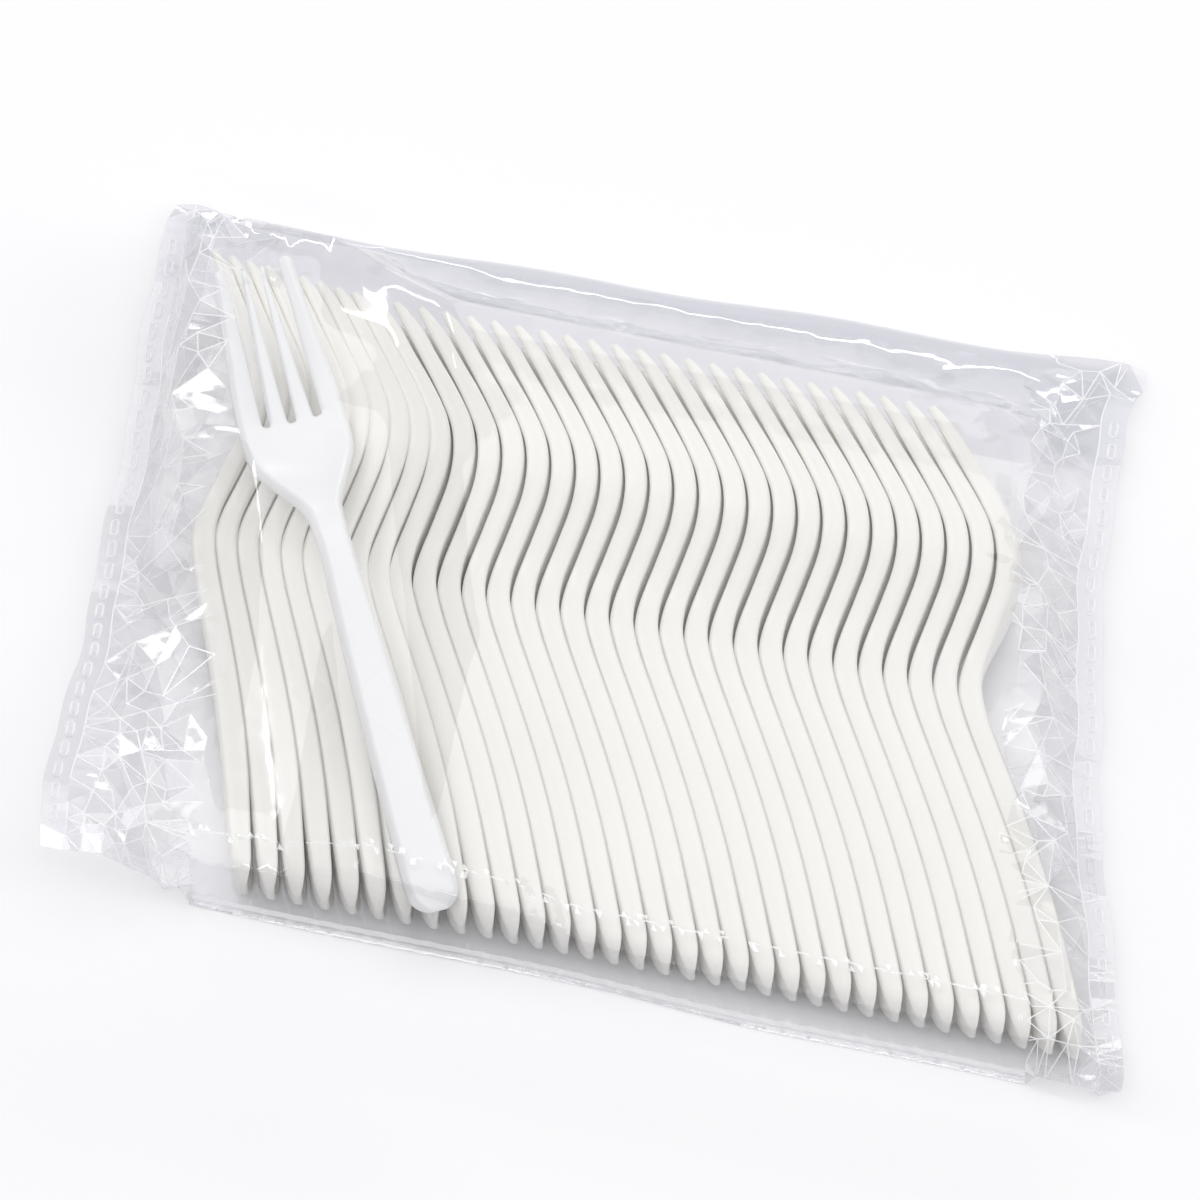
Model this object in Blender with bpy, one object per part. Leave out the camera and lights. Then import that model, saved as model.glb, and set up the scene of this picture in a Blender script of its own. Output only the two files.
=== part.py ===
"""A clear film pillow bag of moulded forks: one row nested on edge, one more fork lying on top.

Metres, +Z up, +X to the right along the row, +Y from the handle ends to the tines.
The origin is on the ground under the middle of the bag.
"""

import math

import bmesh
import bpy
from mathutils import Matrix, Vector

MM = 0.001

# One fork
FORK_LENGTH = 162.0 * MM
HEAD_WIDTH = 26.0 * MM
TIP_LINE_WIDTH = 19.2 * MM
NECK_WIDTH = 8.7 * MM
HANDLE_END_WIDTH = 13.0 * MM
HEAD_LENGTH = 63.0 * MM      # from the narrow neck to the tips
TINE_LENGTH = 36.5 * MM
SLOT_WIDTH_AT_ROOT = 1.8 * MM
SLOT_WIDTH_AT_TIPS = 3.9 * MM
HANDLE_HUMP = 6.9 * MM       # how far the handle rises from its end to the neck
BOWL_DROP = 14.2 * MM        # from the hump down to the bowl
TINE_RISE = 8.3 * MM         # from the bowl up to the tips
HEAD_DISH = 2.3 * MM         # hollow across the head
RIM_DEPTH = 4.45 * MM        # the turned-down rim along the handle
TIP_DEPTH = 1.9 * MM
RIM_SLOPE = 1.3 * MM         # draft of the rim's outer side
PLATE = 1.9 * MM             # wall of the face

# The nested row
ROW_COUNT = 33
ROW_PITCH = 5.72 * MM        # along X
ROW_YAW = math.radians(22.6)
FANNED_COUNT = 9             # forks at the left end that are turned a little less
FAN_STEP = math.radians(0.7)
FAN_PIVOT = 40.0 * MM        # from the handle end
ROW_MIDDLE_X = 26.0 * MM     # the middle fork's handle end
ROW_HANDLE_Y = -86.0 * MM    # the handle ends' line

# The fork on top
TOP_YAW = math.radians(29.3)
TOP_TIP_X = -100.7 * MM
TOP_HANDLE_Y = -87.0 * MM

# The film bag
BAG_LENGTH = 266.4 * MM      # from corner to corner along X
LEFT_SEAL_LEAN = -0.11       # X per Y: the bag lies a little sheared
RIGHT_SEAL_LEAN = -0.19
RIGHT_SEAL_BOW = 7.0 * MM    # the right seal's corners stand out from its middle
BAG_WIDTH = 184.0 * MM       # from the front fold to the back fold
SEAL_WIDTH = 6.0 * MM
SEAL_HEIGHT = 5.0 * MM       # of the flat seals over the ground
CORNER_LIFT = 17.0 * MM      # how much higher the left seal's front corner curls up
SNUG_REACH = 92.0 * MM       # from the middle to the corners where the seals' leans start
SEAL_ROOM = 0.6 * MM         # the body's film keeps at least this far inside the seals
FILM_WALL = 0.12 * MM
EDGE_HEIGHT = 0.8 * MM       # of the folds along the front and the back
FOLD_HEIGHT = 1.7 * MM       # puckers beside the seals
TAPER_SHARES = (0.10, 0.25, 0.42, 0.60, 0.80, 1.0)
MIDDLE_STEPS = 12
FACE_ROOM = 8.5 * MM         # film to the first fork's handle line, past its hump
BACK_ROOM = 13.0 * MM        # film to the last fork's handle line, past its bowl
TENT_FLAT = 7.0 * MM          # film beside the top fork before it comes down
TENT_SLOPE = 20.0 * MM
FRONT_CURVE = 3.5 * MM       # the film bends over the handle ends within this
HEAD_CURVE = 12.0 * MM       # and over the heads' shoulders within this
EDGE_INSETS = 4.0            # film walls by which the hollow stays short of the side folds
VENT_DIAMETER = 3.0 * MM
VENT_Y = 45.0 * MM
CLEARANCE = 0.35 * MM        # between neighbouring pieces

FLOOR_GAP = FILM_WALL + CLEARANCE


def clear_scene():
    """Remove every object that the file opened with."""
    for thing in list(bpy.data.objects):
        bpy.data.objects.remove(thing, do_unlink=True)


def new_collection(name):
    collection = bpy.data.collections.new(name)
    bpy.context.scene.collection.children.link(collection)
    return collection


def plain_material(name, colour, roughness, alpha=1.0):
    """A Principled material of one colour."""
    material = bpy.data.materials.new(name)
    material.use_nodes = True
    shader = material.node_tree.nodes["Principled BSDF"]
    shader.inputs["Base Color"].default_value = (*colour, 1.0)
    shader.inputs["Roughness"].default_value = roughness
    shader.inputs["Metallic"].default_value = 0.0
    shader.inputs["Alpha"].default_value = alpha
    return material


def add_object(name, mesh, collection, material=None):
    thing = bpy.data.objects.new(name, mesh)
    collection.objects.link(thing)
    if material is not None and not mesh.materials:
        mesh.materials.append(material)
    return thing


def make_cutter(thing):
    """A cutter is drawn as wire and never rendered."""
    thing.hide_render = True
    thing.display_type = "WIRE"


def loft(name, rings):
    """Skin rings of equal point counts, one after another, and cap the two ends."""
    form = bmesh.new()
    loops = [[form.verts.new(point) for point in ring] for ring in rings]
    count = len(loops[0])
    for near, far in zip(loops, loops[1:]):
        for index in range(count):
            after = (index + 1) % count
            form.faces.new((near[index], near[after], far[after], far[index]))
    form.faces.new(list(reversed(loops[0])))
    form.faces.new(loops[-1])
    bmesh.ops.recalc_face_normals(form, faces=form.faces[:])
    mesh = bpy.data.meshes.new(name)
    form.to_mesh(mesh)
    form.free()
    return mesh


def cut(thing, cutter):
    """Take the cutter's volume out of the thing."""
    boolean = thing.modifiers.new("cut " + cutter.name, "BOOLEAN")
    boolean.operation = "DIFFERENCE"
    boolean.solver = "EXACT"
    boolean.object = cutter
    make_cutter(cutter)


def bake_modifiers(thing):
    """The thing's mesh with its modifiers applied."""
    bpy.context.view_layer.update()
    graph = bpy.context.evaluated_depsgraph_get()
    return bpy.data.meshes.new_from_object(thing.evaluated_get(graph))


# The fork: X across it, Y from the handle end to the tips, Z out of its face

def fork_stations():
    """Along the fork: distance, half width, height of the face, rim depth and dish."""
    neck = FORK_LENGTH - HEAD_LENGTH
    root = FORK_LENGTH - TINE_LENGTH
    shoulder = root - neck
    bowl = HANDLE_HUMP - BOWL_DROP
    end_half = HANDLE_END_WIDTH / 2
    neck_half = NECK_WIDTH / 2
    head_half = HEAD_WIDTH / 2
    tip_half = TIP_LINE_WIDTH / 2
    neck_share = NECK_WIDTH / HEAD_WIDTH

    def handle(share, bow):
        along = end_half + (neck - end_half) * share
        half = end_half + (neck_half - end_half) * share
        return (along, half, bow * HANDLE_HUMP, RIM_DEPTH, 0.0)

    def head(share, width, drop, depth, dish):
        face = HANDLE_HUMP - drop * BOWL_DROP
        return (neck + share * shoulder, width * head_half, face, depth * RIM_DEPTH, dish * HEAD_DISH)

    def tines(share, half, rise, depth):
        return (root + share * TINE_LENGTH, half, bowl + rise * TINE_RISE, depth, HEAD_DISH)

    return [
        (0.0, 0.48 * end_half, 0.0, 0.64 * RIM_DEPTH, 0.0),
        (0.30 * end_half, 0.84 * end_half, 0.02 * HANDLE_HUMP, 0.92 * RIM_DEPTH, 0.0),
        handle(0.0, 0.06),
        handle(0.32, 0.26),
        handle(0.68, 0.76),
        head(-0.30, neck_share, 0.0, 0.96, 0.0),
        head(0.0, 1.12 * neck_share, 0.26, 0.96, 0.1),
        head(0.32, 0.66, 0.66, 1.0, 0.5),
        head(0.64, 0.95, 0.95, 0.90, 0.9),
        head(1.0, 1.0, 1.0, 0.81, 1.0),
        tines(0.50, (head_half + tip_half) / 2, 0.44, (RIM_DEPTH + TIP_DEPTH) / 2),
        tines(0.93, tip_half, 0.94, 1.25 * TIP_DEPTH),
        tines(1.0, 0.94 * tip_half, 1.0, 0.75 * TIP_DEPTH),
    ]


def fork_ring(station):
    """A channel section: dished face, sloping rims, and a hollow back."""
    along, half, face, depth, dish = station
    slope = min(RIM_SLOPE, 0.35 * half)
    back = face - depth
    hollow = face - dish - min(PLATE, 0.72 * depth)
    section = [
        (-half, back),
        (-half + slope, face),
        (0.0, face - dish),
        (half - slope, face),
        (half, back),
        (0.0, hollow),
    ]
    return [Vector((across, along, height)) for across, height in section]


def slot_cutter():
    """One gap between tines: round at its root, wider at the tips, where it rounds them off."""
    root = FORK_LENGTH - TINE_LENGTH
    root_half = SLOT_WIDTH_AT_ROOT / 2
    tip_half = SLOT_WIDTH_AT_TIPS / 2
    rounding = 0.07 * TINE_LENGTH
    past = FORK_LENGTH + rounding
    outline = [
        (-0.6 * root_half, root),
        (0.6 * root_half, root),
        (root_half, root + root_half),
        (tip_half, FORK_LENGTH - rounding),
        (tip_half + rounding, past),
        (-tip_half - rounding, past),
        (-tip_half, FORK_LENGTH - rounding),
        (-root_half, root + root_half),
    ]
    deep = 2 * BOWL_DROP
    rings = [[Vector((x, y, level)) for x, y in outline] for level in (-deep, deep)]
    return loft("slot cutter", rings)


def fork_mesh(guides):
    """One moulded fork; its slots fan out with the head's taper."""
    form = loft("fork", [fork_ring(station) for station in fork_stations()])
    thing = add_object("fork form", form, guides)
    spacing = HEAD_WIDTH / 4
    lean = math.atan((HEAD_WIDTH - TIP_LINE_WIDTH) / 4 / TINE_LENGTH)
    for side in (-1, 0, 1):
        cutter = add_object("slot %d" % side, slot_cutter(), guides)
        pivot = Matrix.Translation((0.0, FORK_LENGTH - TINE_LENGTH, 0.0))
        turn = pivot @ Matrix.Rotation(side * lean, 4, "Z") @ pivot.inverted()
        cutter.data.transform(Matrix.Translation((side * spacing, 0.0, 0.0)) @ turn)
        cut(thing, cutter)
    mesh = bake_modifiers(thing)
    mesh.name = "fork"
    make_cutter(thing)
    return mesh


def axes_matrix(across, along, face, place):
    matrix = Matrix((across, along, face)).transposed().to_4x4()
    matrix.translation = place
    return matrix


def edge_tilt():
    """The slope of a fork that stands on the edges of its head and its handle end."""
    end_half = HANDLE_END_WIDTH / 2
    return math.atan((HEAD_WIDTH / 2 - end_half) / (FORK_LENGTH - TINE_LENGTH - end_half))


def row_place(index):
    """Where a fork of the row stands, turned about its neck where the row fans out."""
    fanned = max(0, FANNED_COUNT - index)
    yaw = ROW_YAW - fanned * FAN_STEP
    tilt = edge_tilt()
    offset = (index - (ROW_COUNT - 1) / 2) * ROW_PITCH
    end = Vector((ROW_MIDDLE_X + offset, ROW_HANDLE_Y, 0.0))
    straight = Vector((-math.sin(ROW_YAW), math.cos(ROW_YAW), 0.0))
    flat = Vector((-math.sin(yaw), math.cos(yaw), 0.0))
    place = end + FAN_PIVOT * (straight - flat)
    end_half = HANDLE_END_WIDTH / 2
    place.z = FLOOR_GAP + end_half / math.cos(tilt) - end_half * math.sin(tilt)
    along = flat * math.cos(tilt) + Vector((0.0, 0.0, math.sin(tilt)))
    face = Vector((-math.cos(yaw), -math.sin(yaw), 0.0))
    across = along.cross(face)
    return axes_matrix(across, along, face, place)


def top_place():
    """The top fork lies on the row: its bowl on the heads, its handle on the handles."""
    bowl_back = HANDLE_HUMP - BOWL_DROP - 0.90 * RIM_DEPTH
    handle_back = -RIM_DEPTH
    bowl_along = FORK_LENGTH - TINE_LENGTH
    head_top = FLOOR_GAP + HEAD_WIDTH + CLEARANCE
    handle_top = FLOOR_GAP + HANDLE_END_WIDTH + CLEARANCE
    rise = (head_top - bowl_back) - (handle_top - handle_back)
    pitch = math.asin(rise / bowl_along)
    flat = Vector((-math.sin(TOP_YAW), math.cos(TOP_YAW), 0.0))
    along = flat * math.cos(pitch) + Vector((0.0, 0.0, math.sin(pitch)))
    across = Vector((math.cos(TOP_YAW), math.sin(TOP_YAW), 0.0))
    face = across.cross(along)
    height = handle_top - handle_back * math.cos(pitch)
    reach = FORK_LENGTH * math.cos(pitch)
    place = Vector((TOP_TIP_X + reach * math.sin(TOP_YAW), TOP_HANDLE_Y, height))
    return axes_matrix(across, along, face, place)


def make_forks(collection, guides):
    """The nested row and the loose fork on it, all from one mould."""
    row_plastic = plain_material("ivory plastic", (0.90, 0.89, 0.84), 0.35)
    mesh = fork_mesh(guides)
    mesh.materials.clear()
    mesh.materials.append(row_plastic)
    for index in range(ROW_COUNT):
        fork = add_object("nested_fork_%02d" % (index + 1), mesh, collection)
        fork.matrix_world = row_place(index)
    top_mesh = mesh.copy()
    top_mesh.materials.clear()
    top_mesh.materials.append(plain_material("white plastic", (0.94, 0.95, 0.96), 0.3))
    top = add_object("top_fork", top_mesh, collection)
    top.matrix_world = top_place()


# The film bag: a loft along X whose sections lean with the seals

def smooth_step(share):
    share = min(1.0, max(0.0, share))
    return share * share * (3.0 - 2.0 * share)


def row_tips_y():
    return ROW_HANDLE_Y + FORK_LENGTH * math.cos(ROW_YAW)


def section_outline():
    """The film round the row, from the front edge over the top to the back edge: Y and Z."""
    front = -BAG_WIDTH / 2
    back = BAG_WIDTH / 2
    handle_top = FLOOR_GAP + HANDLE_END_WIDTH + CLEARANCE + FILM_WALL
    head_top = FLOOR_GAP + HEAD_WIDTH + CLEARANCE + FILM_WALL
    head_y = ROW_HANDLE_Y + (FORK_LENGTH - TINE_LENGTH - HEAD_CURVE) * math.cos(ROW_YAW)
    tips_y = row_tips_y()
    mound = 1.4 * MM
    return [
        (front, EDGE_HEIGHT),
        (front + 0.17 * FRONT_CURVE, 0.55 * handle_top),
        (front + FRONT_CURVE, handle_top),
        (front + 4.6 * FRONT_CURVE, handle_top + mound),
        (-0.5 * head_y - 0.8 * HEAD_CURVE, 0.5 * (handle_top + head_top)),
        (head_y - HEAD_CURVE, head_top - 0.7 * mound),
        (head_y, head_top + 0.15 * mound),
        (0.5 * (head_y + tips_y), head_top + 0.35 * mound),
        (tips_y + 0.08 * HEAD_CURVE, head_top - 0.4 * mound),
        (tips_y + 0.67 * HEAD_CURVE, 0.62 * head_top),
        (back - 0.75 * HEAD_CURVE, 0.22 * head_top),
        (back, EDGE_HEIGHT),
    ]


def top_fork_lift(x, y, top):
    """How much the film, otherwise at the height top, is raised by the top fork under it."""
    matrix = top_place()
    end = matrix.translation
    tip = matrix @ Vector((0.0, FORK_LENGTH, 0.0))
    run = Vector((tip.x - end.x, tip.y - end.y))
    offset = Vector((x - end.x, y - end.y))
    share = min(1.0, max(0.0, offset.dot(run) / run.length_squared))
    nearest = end.lerp(tip, share)
    hump_share = 0.95 * (FORK_LENGTH - HEAD_LENGTH) / FORK_LENGTH
    hump = (matrix @ Vector((0.0, hump_share * FORK_LENGTH, HANDLE_HUMP))).z
    tips = (matrix @ Vector((0.0, FORK_LENGTH, HANDLE_HUMP - BOWL_DROP + TINE_RISE))).z
    if share < hump_share:
        ridge = end.z + (hump - end.z) * share / hump_share
    else:
        ridge = hump + (tips - hump) * (share - hump_share) / (1.0 - hump_share)
    ridge += 5 * CLEARANCE
    distance = math.hypot(x - nearest.x, y - nearest.y)
    widening = smooth_step((share - 0.5) / 0.25)
    half = (HANDLE_END_WIDTH + (HEAD_WIDTH - HANDLE_END_WIDTH) * widening) / 2
    near = smooth_step(1.0 - (distance - half - TENT_FLAT) / TENT_SLOPE)
    return max(0.0, ridge - top) * near


def seal_x(side, y):
    """The outer edge of the left seal, side -1, or of the right one, side 1."""
    if side < 0:
        return -BAG_LENGTH / 2 + LEFT_SEAL_LEAN * (y - SNUG_REACH)
    bow = RIGHT_SEAL_BOW * ((y / SNUG_REACH) ** 2 - 1.0)
    return BAG_LENGTH / 2 + RIGHT_SEAL_LEAN * (y + SNUG_REACH) + bow


def seal_lift(side, y):
    """How far the seal is over its usual height: the left one's front corner curls up."""
    if side > 0:
        return 0.0
    return CORNER_LIFT * smooth_step(-y / SNUG_REACH)


def body_x(side, y):
    """Where the film reaches its full height, along the row's first or last fork."""
    last = 0 if side < 0 else ROW_COUNT - 1
    matrix = row_place(last)
    along = matrix.col[1]
    reached = min(y, row_tips_y())
    end_x = matrix.translation.x + (reached - matrix.translation.y) * along.x / along.y
    inner_line = seal_x(side, y) - side * (SEAL_WIDTH + SEAL_ROOM)
    past_neck = smooth_step((y - ROW_HANDLE_Y - 0.2 * FORK_LENGTH) / (0.35 * FORK_LENGTH))
    if side < 0:
        past_bowl = smooth_step((y - ROW_HANDLE_Y - 0.65 * FORK_LENGTH) / (0.2 * FORK_LENGTH))
        return max(inner_line, end_x - FACE_ROOM * (0.4 + 0.6 * past_neck - 0.5 * past_bowl))
    return min(inner_line, end_x + BACK_ROOM * (0.5 + 0.5 * past_neck))


def film_ring(side, share, outline, inset, seal=0.0):
    """One section of the film, drawn in by the inset.

    Beside a seal, side is -1 or 1, share runs from its inner line to the body, and seal is how far
    out across it. In the body side is 0 and share runs from left to right.
    """
    fullness = 1.0 if side == 0 else smooth_step(share)
    seal_top = SEAL_HEIGHT + FILM_WALL
    seal_bottom = SEAL_HEIGHT - FILM_WALL
    pucker = FOLD_HEIGHT * (4.0 * fullness * (1.0 - fullness)) ** 2
    last = len(outline) - 1
    least_gap = 2 * FILM_WALL if share == 0.0 else 4 * FILM_WALL

    def drawn_y(order):
        """The two folds draw in most and the steep film beside them a little."""
        walls = 0.0
        if order in (0, last):
            walls = EDGE_INSETS
        elif order in (1, 2, last - 2, last - 1):
            walls = 1.0
        y = outline[order][0]
        return y - math.copysign(walls * inset, y)

    def across(y):
        if side == 0:
            return body_x(-1, y) + (body_x(1, y) - body_x(-1, y)) * share
        line = seal_x(side, y) - side * (SEAL_WIDTH - seal)
        return line + (body_x(side, y) - line) * share

    def underside(y):
        return (seal_bottom + seal_lift(side, y)) * (1.0 - smooth_step(1.6 * fullness))

    ring = []
    for order, (y, top) in enumerate(outline):
        resting = seal_top + seal_lift(side, y)
        height = resting + (top - resting) * fullness
        if order in (0, last):
            height = max(height, underside(y) + least_gap / 2)
        else:
            height += top_fork_lift(across(y), y, top) * fullness
            height += pucker if order % 2 else -pucker
            height = max(height, underside(y) + least_gap) - inset
        ring.append(Vector((across(drawn_y(order)), drawn_y(order), height)))
    for order in range(last - 1, 0, -1):
        height = underside(outline[order][0]) + inset
        ring.append(Vector((across(drawn_y(order)), drawn_y(order), height)))
    return ring


def hollow_rings(outline, inset):
    """The film's sections over its hollow, from left to right."""
    left = [film_ring(-1, share, outline, inset) for share in TAPER_SHARES]
    middle = [film_ring(0, step / MIDDLE_STEPS, outline, inset) for step in range(1, MIDDLE_STEPS)]
    right = [film_ring(1, share, outline, inset) for share in reversed(TAPER_SHARES)]
    return left + middle + right


def add_skin(form, rings):
    """Skin the rings in a bmesh and close both ends with a strip from top to bottom.

    The skin is made of triangles that all split the same way, so a lining never crosses its outside.
    """
    loops = [[form.verts.new(point) for point in ring] for ring in rings]
    for near, far in zip(loops, loops[1:]):
        for index in range(len(near)):
            after = (index + 1) % len(near)
            form.faces.new((near[index], near[after], far[after]))
            form.faces.new((near[index], far[after], far[index]))
    for loop in (loops[0], loops[-1]):
        half = len(loop) // 2
        form.faces.new((loop[0], loop[1], loop[-1]))
        form.faces.new((loop[half - 1], loop[half], loop[half + 1]))
        for index in range(1, half - 1):
            form.faces.new((loop[index], loop[index + 1], loop[-index - 1], loop[-index]))


def make_film_bag(collection, guides):
    """Film sealed flat across both ends, hollow between, with one punched vent hole."""
    outline = section_outline()
    ends = {}
    for side in (-1, 1):
        ends[side] = [film_ring(side, 0.0, outline, 0.0, seal) for seal in (SEAL_WIDTH, 0.0)]
    form = bmesh.new()
    add_skin(form, ends[-1] + hollow_rings(outline, 0.0) + list(reversed(ends[1])))
    bmesh.ops.recalc_face_normals(form, faces=form.faces[:])
    outside = set(form.faces)
    add_skin(form, hollow_rings(outline, FILM_WALL))
    lining = [face for face in form.faces if face not in outside]
    bmesh.ops.recalc_face_normals(form, faces=lining)
    bmesh.ops.reverse_faces(form, faces=lining)
    mesh = bpy.data.meshes.new("film bag")
    form.to_mesh(mesh)
    form.free()
    film = plain_material("clear film", (0.93, 0.93, 0.95), 0.08, alpha=0.3)
    bag = add_object("film_bag", mesh, collection, film)
    form = bmesh.new()
    bmesh.ops.create_cone(
        form,
        cap_ends=True,
        segments=12,
        radius1=VENT_DIAMETER / 2,
        radius2=VENT_DIAMETER / 2,
        depth=10 * FILM_WALL,
        matrix=Matrix.Translation((0.0, VENT_Y, 0.0)),
    )
    vent_mesh = bpy.data.meshes.new("vent hole")
    form.to_mesh(vent_mesh)
    form.free()
    cut(bag, add_object("vent hole", vent_mesh, guides))


def main():
    clear_scene()
    collection = new_collection("fork pack")
    guides = new_collection("cutters")
    make_forks(collection, guides)
    make_film_bag(collection, guides)


main()
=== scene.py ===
"""A clear, crinkled film bag of ivory plastic forks: the row nested on edge, one more fork on top."""

import math
import random

import bmesh
import bpy
import numpy as np
from mathutils import Matrix, Vector
from mathutils.bvhtree import BVHTree
from mathutils.geometry import delaunay_2d_cdt


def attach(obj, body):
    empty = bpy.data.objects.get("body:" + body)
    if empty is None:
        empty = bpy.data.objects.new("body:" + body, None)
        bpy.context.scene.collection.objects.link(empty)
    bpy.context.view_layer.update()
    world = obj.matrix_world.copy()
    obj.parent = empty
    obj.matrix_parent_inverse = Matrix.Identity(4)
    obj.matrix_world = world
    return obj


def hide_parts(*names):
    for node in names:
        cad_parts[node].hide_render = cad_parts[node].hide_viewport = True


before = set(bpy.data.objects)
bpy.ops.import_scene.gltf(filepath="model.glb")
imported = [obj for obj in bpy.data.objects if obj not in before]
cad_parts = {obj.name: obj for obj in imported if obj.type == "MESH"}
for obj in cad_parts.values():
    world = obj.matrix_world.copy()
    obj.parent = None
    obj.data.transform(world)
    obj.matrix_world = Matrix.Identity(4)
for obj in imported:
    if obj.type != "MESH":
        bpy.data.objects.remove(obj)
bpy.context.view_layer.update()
MM = 0.001


# The camera looks down on the pack from the front right, through a long lens, as in the photograph.
# Its shift is in parts of the photograph's width, 1200 pixels.

CAMERA_DISTANCE = 1.5
CAMERA_TURN = math.radians(13.2)
CAMERA_ELEVATION = math.radians(58.5)
AIM = Vector((-2.3 * MM, 0.0, 0.0))
SENSOR_WIDTH = 36.0
FOCAL_LENGTH = 198.0
SHIFT_RIGHT = -20 / 1200
SHIFT_UP = 40 / 1200

lens = bpy.data.cameras.new("camera")
lens.sensor_width = SENSOR_WIDTH
lens.lens = FOCAL_LENGTH
lens.shift_x = SHIFT_RIGHT
lens.shift_y = SHIFT_UP
camera = bpy.data.objects.new("camera", lens)
bpy.context.scene.collection.objects.link(camera)
back_flat = Vector((math.sin(CAMERA_TURN), -math.cos(CAMERA_TURN), 0.0)) * math.cos(CAMERA_ELEVATION)
back_up = Vector((0.0, 0.0, math.sin(CAMERA_ELEVATION)))
camera.location = AIM + CAMERA_DISTANCE * (back_flat + back_up)
camera.rotation_mode = "QUATERNION"
camera.rotation_quaternion = (-back_flat - back_up).to_track_quat("-Z", "Y")
bpy.context.scene.camera = camera
bpy.context.scene.view_settings.view_transform = "Standard"


# The studio: a white table top in a white room, a large soft box behind and above the pack, and
# narrow strip boxes whose reflections are the bright glints in the film. The room is brighter where
# the camera sees it, straight or through the film, than in the light that it throws.

floor_material = bpy.data.materials.new("white table top")
floor_material.use_nodes = True
floor_shader = floor_material.node_tree.nodes["Principled BSDF"]
floor_shader.inputs["Base Color"].default_value = (0.97, 0.97, 0.975, 1.0)
floor_shader.inputs["Roughness"].default_value = 0.9
floor_shader.inputs["Specular IOR Level"].default_value = 0.0

floor_form = bmesh.new()
bmesh.ops.create_grid(floor_form, x_segments=4, y_segments=4, size=4.0)
floor_mesh = bpy.data.meshes.new("table top")
floor_form.to_mesh(floor_mesh)
floor_form.free()
floor_mesh.materials.append(floor_material)
table_top = bpy.data.objects.new("table_top", floor_mesh)
bpy.context.scene.collection.objects.link(table_top)

world = bpy.data.worlds.new("studio")
bpy.context.scene.world = world
world.use_nodes = True
room_nodes = world.node_tree.nodes
room_links = world.node_tree.links
room = room_nodes["Background"]
room.inputs["Color"].default_value = (0.93, 0.93, 0.96, 1.0)
room.inputs["Strength"].default_value = 0.36
seen_room = room_nodes.new("ShaderNodeBackground")
seen_room.inputs["Color"].default_value = (0.95, 0.95, 0.97, 1.0)
seen_room.inputs["Strength"].default_value = 0.8
ray = room_nodes.new("ShaderNodeLightPath")
seen_or_mirrored = room_nodes.new("ShaderNodeMath")
seen_or_mirrored.operation = "MAXIMUM"
seen_at_all = room_nodes.new("ShaderNodeMath")
seen_at_all.operation = "MAXIMUM"
room_mix = room_nodes.new("ShaderNodeMixShader")
room_links.new(ray.outputs["Is Camera Ray"], seen_or_mirrored.inputs[0])
room_links.new(ray.outputs["Is Glossy Ray"], seen_or_mirrored.inputs[1])
room_links.new(seen_or_mirrored.outputs["Value"], seen_at_all.inputs[0])
room_links.new(ray.outputs["Is Transmission Ray"], seen_at_all.inputs[1])
room_links.new(seen_at_all.outputs["Value"], room_mix.inputs["Fac"])
room_links.new(room.outputs["Background"], room_mix.inputs[1])
room_links.new(seen_room.outputs["Background"], room_mix.inputs[2])
room_links.new(room_mix.outputs["Shader"], room_nodes["World Output"].inputs["Surface"])


def soft_box(name, place, aim, wide, high, power):
    """A rectangular lamp that faces the aim."""
    lamp = bpy.data.lights.new(name, "AREA")
    lamp.shape = "RECTANGLE"
    lamp.size = wide
    lamp.size_y = high
    lamp.energy = power
    box = bpy.data.objects.new(name, lamp)
    box.location = place
    box.rotation_mode = "QUATERNION"
    box.rotation_quaternion = (Vector(aim) - Vector(place)).to_track_quat("-Z", "Y")
    bpy.context.scene.collection.objects.link(box)


soft_box("overhead", (-0.1, 0.4, 1.7), (-0.1, 0.4, 0.0), 2.2, 1.9, 13.5)
soft_box("right fill", (1.35, -0.1, 1.15), (0.0, 0.0, 0.0), 0.8, 1.0, 6.5)
soft_box("left strip", (-1.3, 0.3, 0.9), (0.0, 0.0, 0.0), 0.22, 1.1, 4.5)
soft_box("back strip", (0.1, 1.35, 0.42), (0.0, 0.0, 0.0), 1.3, 0.07, 3.0)
soft_box("crown strip", (-0.1, -0.62, 1.6), (0.0, 0.0, 0.0), 1.4, 0.07, 2.0)
soft_box("front strip", (-0.1, -1.1, 1.3), (0.0, 0.0, 0.0), 1.2, 0.10, 2.5)


# The forks are moulded in one piece from ivory plastic: a dished head with four tines, and a handle
# whose rims turn down round a hollow back. One mould makes the whole row.

FORK_LENGTH = 162.0 * MM
HEAD_WIDTH = 26.0 * MM
TIP_LINE_WIDTH = 19.2 * MM
NECK_WIDTH = 8.7 * MM
HANDLE_END_WIDTH = 13.0 * MM
HEAD_LENGTH = 63.0 * MM
TINE_LENGTH = 36.5 * MM
SLOT_WIDTH_AT_ROOT = 1.8 * MM
SLOT_WIDTH_AT_TIPS = 3.9 * MM
HANDLE_HUMP = 6.9 * MM
BOWL_DROP = 14.2 * MM
HEAD_DISH = 2.3 * MM
RIM_DEPTH = 5.2 * MM
REST_DEPTH = 4.45 * MM
TIP_DEPTH = 1.9 * MM
RIM_SLOPE = 1.3 * MM
PLATE = 1.9 * MM
WALL = 1.15 * MM
HANDLE_CROWN = 0.28 * MM
TIP_ROUND = 1.05 * MM
CLOSED_SLOT = 0.06 * MM
SAME_POINT = 0.004 * MM
TINE_COUNT = 4
TINE_LINES = 4

NECK_AT = FORK_LENGTH - HEAD_LENGTH
ROOT_AT = FORK_LENGTH - TINE_LENGTH
END_HALF = HANDLE_END_WIDTH / 2
SHOULDER = ROOT_AT - NECK_AT
BOWL = HANDLE_HUMP - BOWL_DROP
COLUMNS = TINE_COUNT * TINE_LINES


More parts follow.
